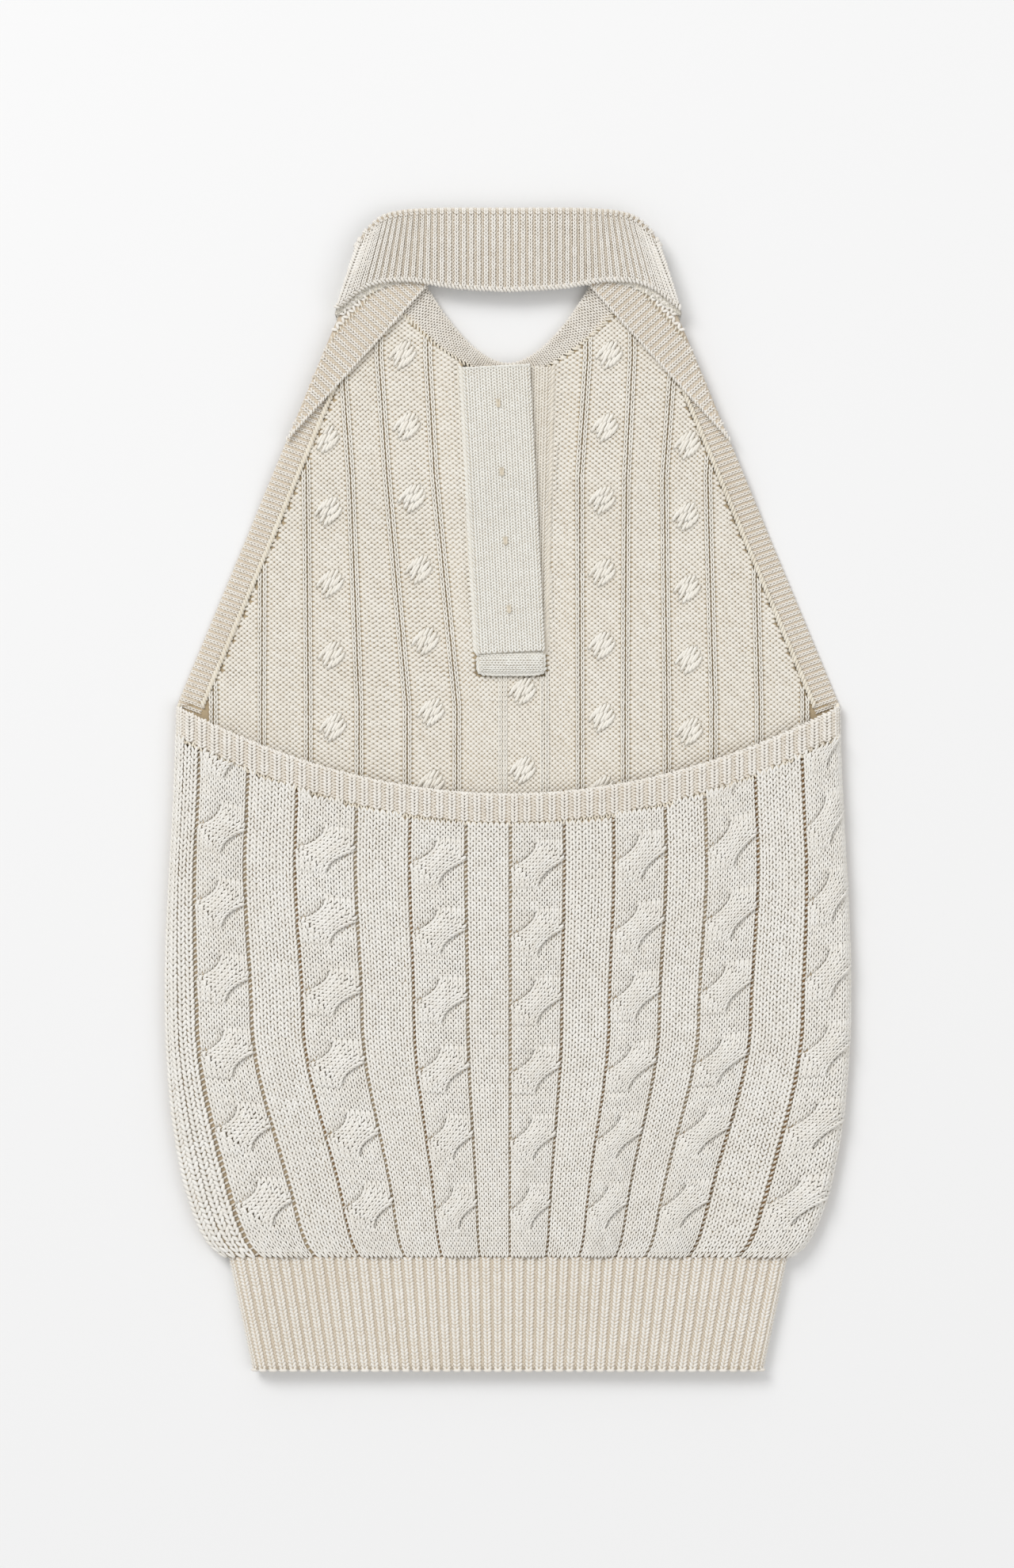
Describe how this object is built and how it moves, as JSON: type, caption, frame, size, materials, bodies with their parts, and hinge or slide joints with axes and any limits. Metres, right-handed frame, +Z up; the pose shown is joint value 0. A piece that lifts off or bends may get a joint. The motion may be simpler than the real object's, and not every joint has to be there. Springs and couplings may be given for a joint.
{
  "type": "knitted halter top",
  "caption": "Sleeveless cable-knit halter top with polo collar, buttoned placket, open scooped back and ribbed hem, laid flat on its front.",
  "frame": {"origin": "middle of the garment's outline, on the surface it lies on", "axes": "+X across the body, +Y from the hem to the collar, +Z up from the surface, out of the back"},
  "size_m": [0.39, 0.661, 0.0147],
  "materials": {
    "cable_knit": "matte cotton knit, ecru",
    "inside_knit": "matte cotton knit, purl side, warm ecru",
    "rib_knit": "matte cotton rib knit, ecru",
    "placket_knit": "fine matte cotton knit, greyish ecru",
    "seam_yarn": "matte cotton yarn",
    "button": "soft gloss, cream"
  },
  "bodies": {
    "garment": {"front_panel": "inside_knit", "front_hem_rib": "rib_knit", "back_panel": "cable_knit", "back_hem_rib": "rib_knit", "back_neckline_binding": "rib_knit", "back_neckline_seam": "seam_yarn", "side_seam_left": "seam_yarn", "side_seam_right": "seam_yarn", "armhole_binding_left": "rib_knit", "armhole_binding_right": "rib_knit", "armhole_seam_left": "seam_yarn", "armhole_seam_right": "seam_yarn", "neckband": "rib_knit", "collar_seam": "seam_yarn", "collar_stand": "rib_knit", "collar_leaf_left": "rib_knit", "collar_leaf_right": "rib_knit", "button_band": "placket_knit", "buttonhole_band": "placket_knit", "placket_seam_left": "seam_yarn", "placket_seam_right": "seam_yarn", "placket_bottom_tack": "placket_knit"},
    "collar_back_fall": {"collar_fall": "rib_knit"},
    "sewn_button_1": {"button_1": "button", "button_thread_1": "seam_yarn"},
    "sewn_button_2": {"button_2": "button", "button_thread_2": "seam_yarn"},
    "sewn_button_3": {"button_3": "button", "button_thread_3": "seam_yarn"},
    "sewn_button_4": {"button_4": "button", "button_thread_4": "seam_yarn"}
  },
  "joints": [
    {"name": "collar_turn_up", "type": "hinge", "parent": "garment", "child": "collar_back_fall", "pos_m": [0, 0.3307, 0.01115], "axis": [-1, 0, 0], "range_deg": [0, 150]},
    {"name": "button_1_twist", "type": "hinge", "parent": "garment", "child": "sewn_button_1", "pos_m": [-0.0057, 0.21951, 0.003], "axis": [0, 0, 1], "range_deg": [-25, 25], "stiffness_Nm_per_rad": 0.0002},
    {"name": "button_2_twist", "type": "hinge", "parent": "garment", "child": "sewn_button_2", "pos_m": [-0.00366, 0.18057, 0.003], "axis": [0, 0, 1], "range_deg": [-25, 25], "stiffness_Nm_per_rad": 0.0002},
    {"name": "button_3_twist", "type": "hinge", "parent": "garment", "child": "sewn_button_3", "pos_m": [-0.00162, 0.14162, 0.003], "axis": [0, 0, 1], "range_deg": [-25, 25], "stiffness_Nm_per_rad": 0.0002},
    {"name": "button_4_twist", "type": "hinge", "parent": "garment", "child": "sewn_button_4", "pos_m": [0.00042, 0.10267, 0.003], "axis": [0, 0, 1], "range_deg": [-25, 25], "stiffness_Nm_per_rad": 0.0002}
  ]
}
